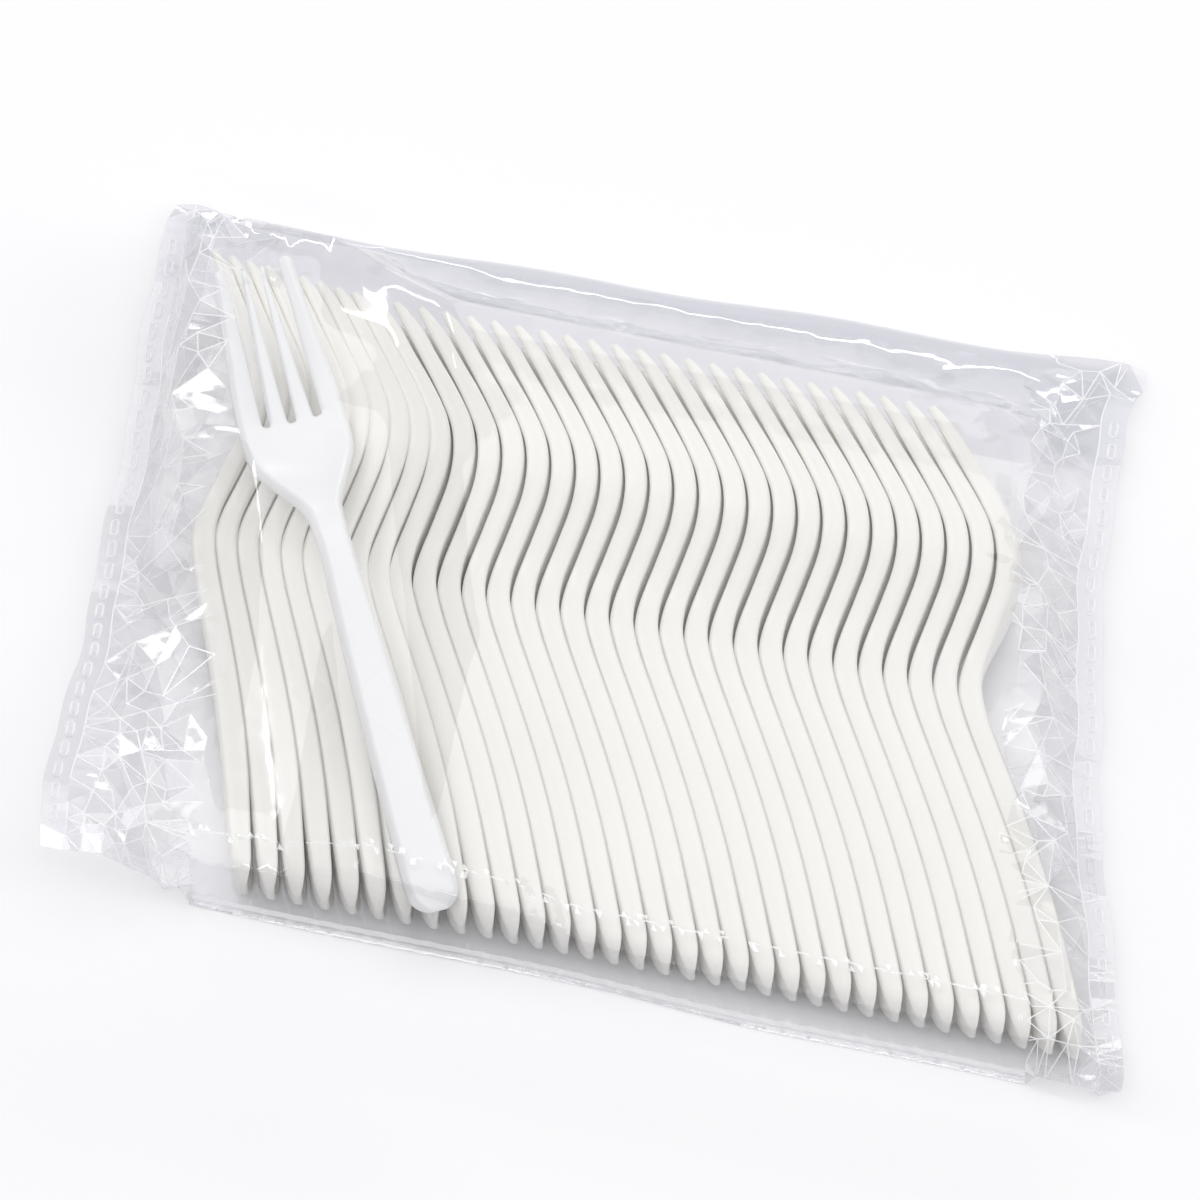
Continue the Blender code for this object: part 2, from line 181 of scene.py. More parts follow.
def eased(at, places, values):
    """The height at one place of a smooth curve through three or more values."""
    places = np.array(places)
    values = np.array(values)
    spans = np.diff(places)
    slopes = np.diff(values) / spans
    leans = np.zeros(len(values))
    leans[1:-1] = (slopes[:-1] * spans[1:] + slopes[1:] * spans[:-1]) / (spans[:-1] + spans[1:])
    leans[0], leans[-1] = slopes[0], slopes[-1]
    index = int(np.clip(np.searchsorted(places, at) - 1, 0, len(slopes) - 1))
    span = spans[index]
    share = min(1.0, max(0.0, (at - places[index]) / span))
    start, end = values[index], values[index + 1]
    lean_in, lean_out = leans[index] * span, leans[index + 1] * span
    cube, square = share ** 3, share ** 2
    return float(
        (2 * cube - 3 * square + 1) * start
        + (cube - 2 * square + share) * lean_in
        + (3 * square - 2 * cube) * end
        + (cube - square) * lean_out
    )


def smooth_step(share):
    """From 0 to 1 with a soft start and end."""
    share = min(1.0, max(0.0, share))
    return share * share * (3.0 - 2.0 * share)


# Tables of the fork's form: each row is a distance from the handle's end and the value there. Face
# heights are over the fork's own base line, and rim depths are from the face down to the rim's edge.
HALF_WIDTHS = (
    (END_HALF, END_HALF),
    (END_HALF + 0.32 * (NECK_AT - END_HALF), END_HALF + 0.32 * (NECK_WIDTH / 2 - END_HALF)),
    (END_HALF + 0.68 * (NECK_AT - END_HALF), END_HALF + 0.68 * (NECK_WIDTH / 2 - END_HALF)),
    (NECK_AT - 0.30 * SHOULDER, NECK_WIDTH / 2),
    (NECK_AT, 1.12 * NECK_WIDTH / 2),
    (NECK_AT + 0.32 * SHOULDER, 0.66 * HEAD_WIDTH / 2),
    (NECK_AT + 0.64 * SHOULDER, 0.95 * HEAD_WIDTH / 2),
    (ROOT_AT, HEAD_WIDTH / 2),
    (ROOT_AT + 0.5 * TINE_LENGTH, (HEAD_WIDTH + TIP_LINE_WIDTH) / 4),
    (FORK_LENGTH, TIP_LINE_WIDTH / 2),
)
FACE_HEIGHTS = (
    (0.0, -1.9 * MM),
    (1.2 * MM, -1.4 * MM),
    (3.0 * MM, -0.7 * MM),
    (6.5 * MM, 0.1 * MM),
    (12.0 * MM, 0.5 * MM),
    (30.0 * MM, 1.3 * MM),
    (50.0 * MM, 2.8 * MM),
    (69.0 * MM, 5.0 * MM),
    (83.0 * MM, 6.6 * MM),
    (91.0 * MM, 6.6 * MM),
    (96.0 * MM, 5.2 * MM),
    (106.0 * MM, -0.7 * MM),
    (113.0 * MM, -4.9 * MM),
    (119.0 * MM, -6.8 * MM),
    (125.5 * MM, -7.3 * MM),
    (133.0 * MM, -6.2 * MM),
    (144.0 * MM, -3.7 * MM),
    (FORK_LENGTH, 1.0 * MM),
)
RIM_DEPTHS = (
    (0.0, 0.14 * RIM_DEPTH),
    (1.2 * MM, 0.38 * RIM_DEPTH),
    (3.0 * MM, 0.66 * RIM_DEPTH),
    (6.5 * MM, 0.92 * RIM_DEPTH),
    (12.0 * MM, RIM_DEPTH),
    (NECK_AT, RIM_DEPTH),
    (NECK_AT + 0.32 * SHOULDER, RIM_DEPTH),
    (ROOT_AT, 0.93 * RIM_DEPTH),
    (ROOT_AT + 0.5 * TINE_LENGTH, 0.74 * RIM_DEPTH),
    (ROOT_AT + 0.93 * TINE_LENGTH, 1.25 * TIP_DEPTH),
    (FORK_LENGTH, 0.75 * TIP_DEPTH),
)
DISHES = (
    (NECK_AT - 0.3 * SHOULDER, 0.0),
    (NECK_AT + 0.64 * SHOULDER, 0.9 * HEAD_DISH),
    (ROOT_AT, HEAD_DISH),
)


def along_fork(table, along):
    """A table's value at this distance along the fork."""
    return eased(along, [place for place, _ in table], [value for _, value in table])


def rounding(distance, radius):
    """How far a round end of this radius has drawn in at a distance from its tip."""
    share = min(1.0, max(0.0, distance / radius))
    return radius * (1.0 - math.sqrt(max(0.0, 1.0 - (1.0 - share) ** 2)))


def row_places():
    """The distances along the fork where the mould's form is stepped, closer at its bends and ends."""
    end = [END_HALF * (1.0 - math.cos(math.radians(step))) for step in (20, 38, 56, 74, 90)]
    handle = [END_HALF + 10.5 * MM * step for step in range(1, 8)]
    neck = [84.0 * MM + 2.6 * MM * step for step in range(16)]
    root = [ROOT_AT + step * MM for step in (-0.9, 0.0, 0.25, 0.8, 1.8)]
    tines = [ROOT_AT + (TINE_LENGTH - 2.2 * MM) * step / 8 for step in range(1, 9)]
    tips = [FORK_LENGTH - step * MM for step in (1.1, 0.4, 0.0)]
    return end + handle + neck + root + tines + tips


def half_width(along):
    """Half the fork's width, with the handle's end rounded off."""
    return along_fork(HALF_WIDTHS, along) - rounding(along, END_HALF)


def column_places(along):
    """Where the lines of points lie across the fork: in even steps, blended into the four tines."""
    half = half_width(along)
    tip = rounding(FORK_LENGTH - along, TIP_ROUND)
    wall = min(WALL, 0.32 * half)
    plain = [-half, -half + wall]
    inner = COLUMNS - 4
    plain += [(-half + wall) + 2 * (half - wall) * (step + 1) / (inner + 1) for step in range(inner)]
    plain += [half - wall, half]
    past_root = max(0.0, along - ROOT_AT)
    slot = (SLOT_WIDTH_AT_ROOT + (SLOT_WIDTH_AT_TIPS - SLOT_WIDTH_AT_ROOT) * past_root / TINE_LENGTH) / 2
    slot = slot - rounding(past_root, SLOT_WIDTH_AT_ROOT / 2) + tip
    lean = (HEAD_WIDTH - TIP_LINE_WIDTH) / 4 / TINE_LENGTH
    centre = HEAD_WIDTH / 4 - lean * past_root
    if along < ROOT_AT:
        centre = half / 2
        slot = CLOSED_SLOT
    left_sides = [-half + tip, -centre + slot, slot, centre + slot]
    right_sides = [-centre - slot, -slot, centre - slot, half - tip]
    tined = []
    for left, right in zip(left_sides, right_sides):
        side = min(WALL, 0.28 * (right - left))
        tined += [left, left + side, right - side, right]
    blend = smooth_step((along - NECK_AT - 0.2 * SHOULDER) / (0.75 * SHOULDER))
    return [a + (b - a) * blend for a, b in zip(plain, tined)], blend


def fork_point(column, along, is_back):
    """One point of the face, or of the back behind it."""
    places, blend = column_places(along)
    half = max(half_width(along), 0.1 * MM)
    across = places[column]
    share = min(1.0, abs(across) / half)
    depth = along_fork(RIM_DEPTHS, along)
    dish = along_fork(DISHES, along)
    face = along_fork(FACE_HEIGHTS, along) - dish * (1.0 - share ** 2)
    crown = HANDLE_CROWN * (1.0 - share ** 2) * (1.0 - blend)
    face += crown * smooth_step(along / END_HALF)
    if not is_back:
        slope = min(RIM_SLOPE, 0.3 * half)
        return Vector((across * (1.0 - slope / half), along, face))
    at_rim = column in (0, 1, COLUMNS - 2, COLUMNS - 1)
    hollow = min(PLATE, 0.72 * depth)
    filled = 1.0 - smooth_step(along / (0.9 * END_HALF))
    filled += smooth_step((along - NECK_AT + 0.8 * SHOULDER) / (0.4 * SHOULDER))
    plain_depth = depth if at_rim else hollow + (depth - hollow) * filled
    rim_line = along_fork(FACE_HEIGHTS, along) - dish * (1.0 - share ** 2) * 0.6
    return Vector((across, along, rim_line - plain_depth + (plain_depth - depth) * blend))


def fork_form():
    """The mould's form: a grid shaped to the face, slots cut out, thickened, and rounded all over."""
    rows = row_places()
    form = bmesh.new()
    bmesh.ops.create_grid(form, x_segments=COLUMNS - 1, y_segments=len(rows) - 1, size=0.5)
    column_layer = form.verts.layers.int.new("column")
    row_layer = form.verts.layers.int.new("row")
    for vert in form.verts:
        vert[column_layer] = round((vert.co.x + 0.5) * (COLUMNS - 1))
        vert[row_layer] = round((vert.co.y + 0.5) * (len(rows) - 1))
    slots = []
    for face in form.faces:
        first_column = min(vert[column_layer] for vert in face.verts)
        first_row = min(vert[row_layer] for vert in face.verts)
        if first_column % TINE_LINES == TINE_LINES - 1 and rows[first_row] > ROOT_AT - 0.01 * MM:
            slots.append(face)
    bmesh.ops.delete(form, geom=slots, context="FACES")
    front = set(form.verts)
    bmesh.ops.extrude_face_region(form, geom=form.faces[:], use_keep_orig=True)
    for vert in form.verts:
        vert.co = fork_point(vert[column_layer], rows[vert[row_layer]], vert in front)
    bmesh.ops.remove_doubles(form, verts=form.verts[:], dist=SAME_POINT)
    bmesh.ops.recalc_face_normals(form, faces=form.faces[:])
    for face in form.faces:
        face.smooth = True
    cage = bpy.data.meshes.new("fork cage")
    form.to_mesh(cage)
    form.free()
    rounded = bpy.data.objects.new("fork cage", cage)
    bpy.context.scene.collection.objects.link(rounded)
    smoothing = rounded.modifiers.new("rounding", "SUBSURF")
    smoothing.levels = 1
    smoothing.render_levels = 1
    bpy.context.view_layer.update()
    shape = bpy.data.meshes.new_from_object(rounded.evaluated_get(bpy.context.evaluated_depsgraph_get()))
    bpy.data.objects.remove(rounded)
    return shape


# Moulded plastic has faint flow marks in its colour, and a skin that isn't quite even. Both plastics
# share this as one group.
skin_group = bpy.data.node_groups.new("moulded skin", "ShaderNodeTree")
skin_group.interface.new_socket("Shade", in_out="INPUT", socket_type="NodeSocketColor")
skin_group.interface.new_socket("Colour", in_out="INPUT", socket_type="NodeSocketColor")
skin_group.interface.new_socket("Roughness", in_out="INPUT", socket_type="NodeSocketFloat")
skin_group.interface.new_socket("Colour", in_out="OUTPUT", socket_type="NodeSocketColor")
skin_group.interface.new_socket("Roughness", in_out="OUTPUT", socket_type="NodeSocketFloat")
skin_group.interface.new_socket("Height", in_out="OUTPUT", socket_type="NodeSocketFloat")
nodes = skin_group.nodes
links = skin_group.links
given = nodes.new("NodeGroupInput")
result = nodes.new("NodeGroupOutput")
place = nodes.new("ShaderNodeTexCoord")
flow = nodes.new("ShaderNodeTexNoise")
flow.inputs["Scale"].default_value = 45.0
flow.inputs["Detail"].default_value = 1.0
streaks = nodes.new("ShaderNodeMapRange")
streaks.inputs["From Min"].default_value = 0.3
streaks.inputs["From Max"].default_value = 0.7
blend = nodes.new("ShaderNodeMix")
blend.data_type = "RGBA"
uneven = nodes.new("ShaderNodeMath")
uneven.operation = "MULTIPLY_ADD"
uneven.inputs[1].default_value = 0.1
gloss = nodes.new("ShaderNodeMath")
gloss.operation = "SUBTRACT"
gloss.inputs[1].default_value = 0.05
skin = nodes.new("ShaderNodeTexNoise")
skin.inputs["Scale"].default_value = 900.0
skin.inputs["Detail"].default_value = 0.0
links.new(place.outputs["Object"], flow.inputs["Vector"])
links.new(place.outputs["Object"], skin.inputs["Vector"])
links.new(flow.outputs["Fac"], streaks.inputs["Value"])
links.new(streaks.outputs["Result"], blend.inputs["Factor"])
links.new(given.outputs["Shade"], blend.inputs["A"])
links.new(given.outputs["Colour"], blend.inputs["B"])
links.new(blend.outputs["Result"], result.inputs["Colour"])
links.new(flow.outputs["Fac"], uneven.inputs[0])
links.new(given.outputs["Roughness"], uneven.inputs[2])
links.new(uneven.outputs["Value"], gloss.inputs[0])
links.new(gloss.outputs["Value"], result.inputs["Roughness"])
links.new(skin.outputs["Fac"], result.inputs["Height"])


def moulded_plastic(name, colour, shade, roughness):
    """A plastic with the moulded skin."""
    material = bpy.data.materials.new(name)
    material.use_nodes = True
    nodes = material.node_tree.nodes
    links = material.node_tree.links
    shader = nodes["Principled BSDF"]
    shader.inputs["IOR"].default_value = 1.5
    skin = nodes.new("ShaderNodeGroup")
    skin.node_tree = skin_group
    skin.inputs["Shade"].default_value = (*shade, 1.0)
    skin.inputs["Colour"].default_value = (*colour, 1.0)
    skin.inputs["Roughness"].default_value = roughness
    bump = nodes.new("ShaderNodeBump")
    bump.inputs["Strength"].default_value = 0.04
    bump.inputs["Distance"].default_value = 0.0002
    links.new(skin.outputs["Colour"], shader.inputs["Base Color"])
    links.new(skin.outputs["Roughness"], shader.inputs["Roughness"])
    links.new(skin.outputs["Height"], bump.inputs["Height"])
    links.new(bump.outputs["Normal"], shader.inputs["Normal"])
    return material


ROW_COUNT = 33
ROW_PITCH = 5.72 * MM
ROW_YAW = math.radians(22.6)
FANNED_COUNT = 9
FAN_STEP = math.radians(0.7)
FAN_PIVOT = 40.0 * MM
ROW_MIDDLE_X = 26.0 * MM
ROW_HANDLE_Y = -86.0 * MM
CLEARANCE = 0.35 * MM
FLOOR_GAP = 0.12 * MM + CLEARANCE

mould = fork_form()
ivory = moulded_plastic("ivory fork plastic", (0.885, 0.872, 0.827), (0.87, 0.855, 0.803), 0.30)


def place_fork(name, across, along, face, place, material):
    """A fork from the mould, at its place, instead of its CAD node."""
    matrix = Matrix((across, along, face)).transposed().to_4x4()
    matrix.translation = place
    mesh = mould.copy()
    mesh.name = name + " form"
    mesh.transform(matrix)
    mesh.materials.append(material)
    fork = bpy.data.objects.new(name + "_moulded", mesh)
    bpy.context.scene.collection.objects.link(fork)
    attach(fork, "root")
    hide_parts(name)
    return fork


straight = Vector((-math.sin(ROW_YAW), math.cos(ROW_YAW), 0.0))
tilt = math.atan((HEAD_WIDTH / 2 - END_HALF) / (ROOT_AT - END_HALF))
for index in range(ROW_COUNT):
    yaw = ROW_YAW - max(0, FANNED_COUNT - index) * FAN_STEP
    flat = Vector((-math.sin(yaw), math.cos(yaw), 0.0))
    middle = ROW_MIDDLE_X + (index - (ROW_COUNT - 1) / 2) * ROW_PITCH
    spot = Vector((middle, ROW_HANDLE_Y, 0.0)) + FAN_PIVOT * (straight - flat)
    spot.z = FLOOR_GAP + END_HALF / math.cos(tilt) - END_HALF * math.sin(tilt)
    along = flat * math.cos(tilt) + Vector((0.0, 0.0, math.sin(tilt)))
    face = Vector((-math.cos(yaw), -math.sin(yaw), 0.0))
    fork = place_fork("nested_fork_%02d" % (index + 1), along.cross(face), along, face, spot, ivory)


# The loose fork lies face up on the row, its bowl on the heads and its handle on the handles. It
# comes from the same mould and is the same plastic: its colour is painted whiter and cooler than the
# row's ivory, a painted lit copy for the light that falls full on its face.

TOP_YAW = math.radians(29.3)
TOP_TIP_X = -100.7 * MM
TOP_HANDLE_Y = -87.0 * MM

# Painted light: the row's plastic, painted whiter where the light falls full on the face.
white = moulded_plastic("fork plastic painted whiter as lit", (0.875, 0.877, 0.88), (0.865, 0.867, 0.87), 0.26)
bowl_back = BOWL - 0.90 * REST_DEPTH
head_top = FLOOR_GAP + HEAD_WIDTH + CLEARANCE
handle_top = FLOOR_GAP + HANDLE_END_WIDTH + CLEARANCE
pitch = math.asin(((head_top - bowl_back) - (handle_top + REST_DEPTH)) / ROOT_AT)
flat = Vector((-math.sin(TOP_YAW), math.cos(TOP_YAW), 0.0))
along = flat * math.cos(pitch) + Vector((0.0, 0.0, math.sin(pitch)))
across = Vector((math.cos(TOP_YAW), math.sin(TOP_YAW), 0.0))
spot_x = TOP_TIP_X + FORK_LENGTH * math.cos(pitch) * math.sin(TOP_YAW)
spot = Vector((spot_x, TOP_HANDLE_Y, handle_top + REST_DEPTH * math.cos(pitch)))
top_fork = place_fork("top_fork", across, along, across.cross(along), spot, white)
bpy.data.meshes.remove(mould)


# The bag is one tube of clear film, heat-sealed flat across both ends. It is tight over the forks and
# crushed into small sharp facets beside the seals, with star-shaped creases where it was pinched. Its
# plan is a net of points, triangulated twice and dropped on the CAD film from above and from below.

BAG_LENGTH = 266.4 * MM
BAG_WIDTH = 184.0 * MM
LEFT_SEAL_LEAN = -0.11
RIGHT_SEAL_LEAN = -0.19
RIGHT_SEAL_BOW = 7.0 * MM
SEAL_WIDTH = 6.0 * MM
SEAL_HEIGHT = 5.0 * MM
SNUG_REACH = 92.0 * MM
EDGE_STEP = 2.2 * MM
CORNER_ROUND = 4.6 * MM
CRUSHED_LEFT = 31.0 * MM
CRUSHED_MORE = 11.0 * MM
CRUSHED_RIGHT = 24.0 * MM
CRUSHED_FROM = 0.3
FLANGE_WIDTH = 4.2 * MM
FLANGE_LOW = 0.7 * MM
FLANGE_RISE = 15.0 * MM
BACK_LOW = 1.0 * MM
BACK_FOLD = 1.5 * MM
BACK_SLOPE = 1.6
BACK_SLACK_FROM = 68.0 * MM
BACK_HEM = 3.4 * MM
GROUND_GAP = 0.05 * MM
FILM_GAP = 0.2 * MM
SAME_RIM = 0.01 * MM
STAR_SCALE = 1.45
FOLD_TRIES = 6000
FACET_SIZE = 9.5 * MM
FACET_SIZE_LESS = 2.5 * MM
SHARP_EDGE = math.radians(70)
SHARP_FOLD = math.radians(9)
FOLD_ROUND = 0.15 * MM
# How white the film's creases and marks are painted: crease whitening and painted highlights.
CREASE_AND_GLINT_WHITE = 0.7
CRUSHED_TINT = 0.7
SEAL_TONE = 0.45
SLOPE_TONE = 0.25
# Millimetres behind the front fold over which the painted shade clears.
FRONT_SHADE_REACH = 7.0

# Where the photograph shows the film pinched: x, y and radius in millimetres.
LEFT_STARS = (
    (-125, 81, 6), (-119, 72, 7), (-109.9, 76.3, 9), (-118, 36.6, 8), (-114.7, 20.1, 8), (-113, 4.6, 7),
    (-104, -12, 6), (-106, -33.9, 8), (-107, -53, 8), (-103.7, -70, 11), (-104, -83, 6), (-90.5, -81, 6),
    (-96, -88, 4), (-84, 81, 8), (-120, 55, 7), (-101, 55, 7), (-97, -56, 6),
)
RIGHT_STARS = (
    (88, 84, 8), (77.5, 70, 7), (85.7, 59.5, 6), (92, 46, 7), (90, 30, 8), (93, 12, 6),
    (96, -4, 6), (97.5, -20, 7), (99, -34, 7), (106, -50, 6), (112, -66, 7), (119.5, -77, 8),
    (111, -86, 5), (73, 86, 7), (56.4, 80.1, 9),
)

cad_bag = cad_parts["film_bag"]
solid = BVHTree.FromObject(cad_bag, bpy.context.evaluated_depsgraph_get())
chance = random.Random(7)
half = BAG_WIDTH / 2


def seal_x(side, y):
    """The outer edge of the left seal, side -1, or of the right one, side 1, as the CAD film has it."""
    if side < 0:
        return -BAG_LENGTH / 2 + LEFT_SEAL_LEAN * (y - SNUG_REACH)
    bow = RIGHT_SEAL_BOW * ((y / SNUG_REACH) ** 2 - 1.0)
    return BAG_LENGTH / 2 + RIGHT_SEAL_LEAN * (y + SNUG_REACH) + bow


def edge_x(side, y):
    """The seal's real edge: a little wavy, in millimetres, with the back right corner pulled out."""
    wave = 0.55 * math.sin(y / MM / 9.5 + side) + 0.35 * math.sin(y / MM / 4.1 + 2 * side)
    flare = 4.5 * smooth_step((y - 78 * MM) / (20 * MM)) if side > 0 else 0.0
    return seal_x(side, y) + (wave + flare) * MM


def edge_y(side, share):
    """The front fold, side -1, or the back fold, side 1, at a share of the way from left to right."""
    if side < 0:
        corner = 5.6 * (1.0 - smooth_step(share / 0.10)) + 1.5 * smooth_step((share - 0.5) / 0.2)
        return -half + (2.8 - corner + 0.2 * math.sin(17 * share)) * MM
    return half + (0.6 + 5.4 * smooth_step(share) + 0.5 * math.sin(21 * share)) * MM


def share_along(x):
    """The share of the way from the left end to the right end."""
    return (x + BAG_LENGTH / 2) / BAG_LENGTH


def fork_wave(x, y):
    """1 over the middle of a fork in the row, -1 between two forks."""
    lean = math.tan(ROW_YAW) * (y - ROW_HANDLE_Y)
    return math.cos(math.tau * (x + lean - ROW_MIDDLE_X) / ROW_PITCH)


def film_height(x, y, is_top):
    """Where the CAD film lies above or below this point of the plan, lower at its front and back folds."""
    inner_y = min(half - 0.05 * MM, max(-half + 0.05 * MM, y))
    inner_x = min(seal_x(1, inner_y) - 0.1 * MM, max(seal_x(-1, inner_y) + 0.1 * MM, x))
    start = Vector((inner_x, inner_y, 0.2 if is_top else -0.1))
    hit = solid.ray_cast(start, Vector((0.0, 0.0, -1.0 if is_top else 1.0)))[0]
    height = hit.z if hit is not None else SEAL_HEIGHT
    from_front = y - edge_y(-1, share_along(x))
    if is_top and crush(x, y) < CRUSHED_FROM and from_front < FLANGE_WIDTH:
        rise = smooth_step((from_front - 1.0 * MM) / (FLANGE_WIDTH - 1.0 * MM))
        height = min(height, FLANGE_LOW + FLANGE_RISE * rise)
    if is_top:
        height = min(height, BACK_LOW + BACK_SLOPE * max(0.0, half - BACK_FOLD - y))
    return height


def crush(x, y):
    """1 where the film is crushed beside the seals, 0 where it is tight over the row."""
    from_left = x - edge_x(-1, y) - SEAL_WIDTH
    from_right = edge_x(1, y) - SEAL_WIDTH - x
    wide = CRUSHED_LEFT + CRUSHED_MORE * smooth_step((-10 * MM - y) / (40 * MM))
    left = 1.0 - smooth_step(from_left / wide)
    right = 1.0 - smooth_step(from_right / CRUSHED_RIGHT)
    return max(left, right)


def in_seal(x, y):
    """True in the flat seals."""
    return x < edge_x(-1, y) + SEAL_WIDTH or x > edge_x(1, y) - SEAL_WIDTH


def between_folds(x, y, gap):
    """True where the point keeps this gap from the front and back folds."""
    share = share_along(x)
    return edge_y(-1, share) + gap < y < edge_y(1, share) - gap


spots = []
heights = []


def add_spot(x, y, rise):
    """One more point of the plan's net, and how far it stands off the CAD film."""
    spots.append(Vector((x, y)))
    heights.append(rise)
    return len(spots) - 1


def clear_of(x, y, gap, others):
    """True where the point keeps this gap from the others."""
    return all((x - other.x) ** 2 + (y - other.y) ** 2 > gap * gap for other in others)


# The outline runs round the plan: front fold, right seal, back fold, left seal. Its corners are round.
corners = []
for side_x, side_y in ((-1, -1), (1, -1), (1, 1), (-1, 1)):
    y = edge_y(side_y, 0.0 if side_x < 0 else 1.0)
    corners.append(Vector((edge_x(side_x, y), y)))
front_count = round(BAG_LENGTH / EDGE_STEP)
side_count = round(BAG_WIDTH / EDGE_STEP)
loop = []
for order, (start, end) in enumerate(zip(corners, corners[1:] + corners[:1])):
    count = side_count if order % 2 else front_count
    for step in range(count):
        share = step / count
        if order == 0:
            spot = Vector((start.x + (end.x - start.x) * share, edge_y(-1, share)))
        elif order == 2:
            spot = Vector((start.x + (end.x - start.x) * share, edge_y(1, 1.0 - share)))
        else:
            y = start.y + (end.y - start.y) * share
            spot = Vector((edge_x(1 if order == 1 else -1, y), y))
        away = min((spot - corner).length for corner in corners)
        if away < 0.1 * MM:
            spot = spot - 0.32 * CORNER_ROUND * spot.normalized()
        elif away < CORNER_ROUND:
            continue
        loop.append(spot)
outline = [add_spot(spot.x, spot.y, 0.0) for spot in loop]

seal_lines = []
for side in (-1, 1):
    line = []
    for step in range(1, side_count):
        y = -half + BAG_WIDTH * step / side_count
        line.append(add_spot(edge_x(side, y) - side * SEAL_WIDTH, y, 0.0))
    seal_lines += list(zip(line, line[1:]))
outline_count = len(spots)

# Pinched stars: a raised or sunken centre, and a ring that goes up and down by turns.
for x, y, size in LEFT_STARS + RIGHT_STARS:
    x, y, radius = x * MM, y * MM, STAR_SCALE * size * MM
    add_spot(x, y, chance.choice((-1.0, 1.0)) * chance.uniform(0.10, 0.16) * radius)
    points = chance.randrange(9, 14)
    turn = chance.uniform(0.0, math.tau)
    for point in range(points):
        angle = turn + math.tau * (point + chance.uniform(-0.25, 0.25)) / points
        away = radius * chance.uniform(0.7, 1.25)
        ring_x = x + away * math.cos(angle)
        ring_y = y + away * math.sin(angle)
        if in_seal(ring_x, ring_y) or not between_folds(ring_x, ring_y, 1.2 * MM):
            continue
        if clear_of(ring_x, ring_y, 2.2 * MM, spots):
            add_spot(ring_x, ring_y, (0.09 if point % 2 else -0.09) * radius * chance.uniform(0.5, 1.3))

# Between the stars the crushed film is folded at random.
for _ in range(FOLD_TRIES):
    y = chance.uniform(-half, half)
    x = chance.uniform(edge_x(-1, y) + SEAL_WIDTH + 1 * MM, edge_x(1, y) - SEAL_WIDTH - 1 * MM)
    strength = crush(x, y)
    if strength < CRUSHED_FROM or not between_folds(x, y, 1.5 * MM):
        continue
    gap = FACET_SIZE - FACET_SIZE_LESS * strength
    if clear_of(x, y, gap, spots[outline_count:]) and clear_of(x, y, 1.6 * MM, spots[:outline_count]):
        add_spot(x, y, chance.uniform(-0.75, 0.75) * MM)

# Over the row the film is tight: an even net of points, closer where it bends down at the front. A
# narrow ridge runs over the handle ends, painted white in dots as a painted highlight, and two more
# run over the tips. On the slope behind the tines it hangs in long slack folds. Rows are millimetres
# from the front.
front_rows = [0.4, 0.9, 1.4, 1.8, 2.4, 3.0, 3.7, 4.6, 6.0, 8.0]
# Rows of the second bright line at the front fold, painted white.
second_painted_line = [1.4, 1.8]
glint_rows = [13.7, 14.1]
beside_glint = [12.2, 15.4]
top_rows = [17.5 + 3.0 * step for step in range(45)]
ridge_rows = [156.2, 159.1]
tip_rows = [155.5, 156.2, 156.9, 158.5, 159.1, 159.7]
slope_rows = [163.0, 168.0, 173.0, 178.0]
hem_rows = [181.0, 182.5]
net_rows = front_rows + sorted(glint_rows + beside_glint) + top_rows + tip_rows + slope_rows + hem_rows
for row in net_rows:
    step_x = ROW_PITCH / 4 if row < top_rows[0] else ROW_PITCH / 2
    if row in slope_rows:
        step_x = 2.4 * ROW_PITCH
    for step in range(int(BAG_LENGTH / step_x)):
        x = -BAG_LENGTH / 2 + (step + 0.5) * step_x
        share = share_along(x)
        y = -half + row * MM
        if row in front_rows:
            y = edge_y(-1, share) + row * MM
        elif row in hem_rows:
            y = edge_y(1, share) - BACK_HEM + (row - hem_rows[0]) * MM
        elif row in slope_rows:
            x += chance.uniform(-0.35, 0.35) * step_x
            y += chance.uniform(-1.2, 1.2) * MM
        if in_seal(x, y) or crush(x, y) >= CRUSHED_FROM or not between_folds(x, y, 0.3 * MM):
            continue
        sag = 0.5 - 0.5 * fork_wave(x, y)
        rise = -0.6 * MM * sag * math.exp(-((row - 4.0) / 3.0) ** 2) + chance.uniform(-0.03, 0.05) * MM
        if row in ridge_rows:
            rise += 0.4 * MM
        elif row in glint_rows:
            rise += 0.35 * MM - 0.5 * MM * sag
        elif row in slope_rows:
            rise = chance.uniform(-0.8, 0.8) * MM
        add_spot(x, y, rise)

edges = list(zip(outline, outline[1:] + outline[:1])) + seal_lines
plan_spots, _, plan_faces, sources = delaunay_2d_cdt(spots, edges, [], 1, 1e-6)[:4]
